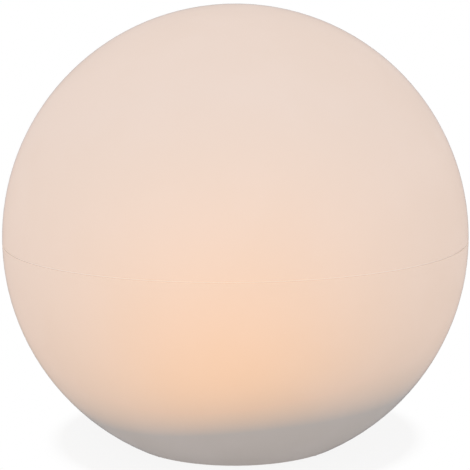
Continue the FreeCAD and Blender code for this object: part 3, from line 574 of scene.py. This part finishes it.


# Near and far are painted light: the lamp's pool in the wall and the glow away from it.
dress(glowing_opal("opal_shell", near=(0.822, 0.361, 0.076), far=(0.491, 0.337, 0.251),
                   groove_shade=0.50),
      "upper_shell", "lower_shell")
dress(glowing_opal("seam_silicone", near=(0.785, 0.463, 0.238), far=(0.495, 0.405, 0.366),
                   groove_shade=0.0),
      "seam_seal")

# %% [markdown]
# ## The floor
#
# The photograph is cut out on pure white, so the floor looks white to the camera, and to rays that
# leave a glossy or a clear surface. The floor still takes the ball's shadow, because part of its
# shading is kept where the ball stands, and it fades to white with distance. A small part of the
# floor's white is there for every ray. It stands for the light that a white table throws up at the
# foot of the ball.

# %% Floor
FLOOR_RADIUS = 6.0
FLOOR_SIDES = 64
FLOOR_GREY = (0.90, 0.90, 0.90)
WHITE = (1.0, 1.0, 1.0)
FADE_RANGE = (0.06, 0.13)
FLOOR_LIFT = 0.88
TABLE_GLOW = 0.19


def background_rays(tree):
    """1 for rays that look for the background: from the camera, off gloss or through glass."""
    paths = add_node(tree, "ShaderNodeLightPath").outputs
    glossy = math_node(tree, "MAXIMUM", paths["Is Camera Ray"], paths["Is Glossy Ray"])
    return math_node(tree, "MAXIMUM", glossy, paths["Is Transmission Ray"])


def mix_shaders(tree, share, first, second):
    """Goes from the first shader to the second."""
    node = add_node(tree, "ShaderNodeMixShader")
    for socket, value in zip(node.inputs, (share, first.outputs[0], second.outputs[0])):
        plug(tree, socket, value)
    return node.outputs[0]


floor_mesh = bpy.data.meshes.new("floor")
disk = bmesh.new()
bmesh.ops.create_circle(disk, cap_ends=True, segments=FLOOR_SIDES, radius=FLOOR_RADIUS)
disk.to_mesh(floor_mesh)
disk.free()
floor = bpy.data.objects.new("floor", floor_mesh)
bpy.context.scene.collection.objects.link(floor)

floor_material = bpy.data.materials.new("floor")
floor_material.use_nodes = True
tree = floor_material.node_tree
tree.nodes.remove(tree.nodes["Principled BSDF"])
place = add_node(tree, "ShaderNodeTexCoord").outputs["Object"]
fade = range_node(tree, vector_node(tree, "LENGTH", place), *FADE_RANGE, shape="SMOOTHSTEP")
seen_white = math_node(tree, "MULTIPLY", math_node(tree, "MAXIMUM", fade, FLOOR_LIFT),
                       background_rays(tree))
floor_shader = mix_shaders(tree, math_node(tree, "MAXIMUM", seen_white, TABLE_GLOW),
                           add_node(tree, "ShaderNodeBsdfDiffuse", {"Color": FLOOR_GREY}),
                           add_node(tree, "ShaderNodeEmission", {"Color": WHITE}))
plug(tree, tree.nodes["Material Output"].inputs["Surface"], floor_shader)
floor_mesh.materials.append(floor_material)
print("floor", FLOOR_RADIUS, "m in radius")

# %% [markdown]
# ## The world
#
# The same kinds of ray find pure white in the world. Every other ray finds a soft grey, which lights
# the ball evenly from all sides.

# %% World
WORLD_GREY = 0.445

world = bpy.data.worlds.new("studio")
bpy.context.scene.world = world
world.use_nodes = True
tree = world.node_tree
tree.nodes.clear()
world_shader = mix_shaders(
    tree, background_rays(tree),
    add_node(tree, "ShaderNodeBackground", {"Color": WHITE, "Strength": WORLD_GREY}),
    add_node(tree, "ShaderNodeBackground", {"Color": WHITE, "Strength": 1.0}))
add_node(tree, "ShaderNodeOutputWorld", {"Surface": world_shader})
print("world at", WORLD_GREY, "of white")

# %% [markdown]
# ## The lamp of the studio
#
# One large round soft light hangs above and in front of the ball, a little to the left. It gives the
# top of the ball its lighter tone, and the shadow under it its soft edge. The view transform stays
# plain, so that a colour in the scene is the colour in the picture.

# %% Soft light from above and in front
SOFTBOX_SIZE = 1.6
SOFTBOX_WATTS = 4.1
SOFTBOX_PLACE = Vector((-0.12, -1.0, 1.5))

softbox_data = bpy.data.lights.new("softbox", "AREA")
softbox_data.shape = "DISK"
softbox_data.size = SOFTBOX_SIZE
softbox_data.energy = SOFTBOX_WATTS
softbox = bpy.data.objects.new("softbox", softbox_data)
bpy.context.scene.collection.objects.link(softbox)
softbox.matrix_world = placed(SOFTBOX_PLACE, ball_centre - SOFTBOX_PLACE)
bpy.context.scene.view_settings.view_transform = "Standard"
print("softbox", SOFTBOX_WATTS, "W")
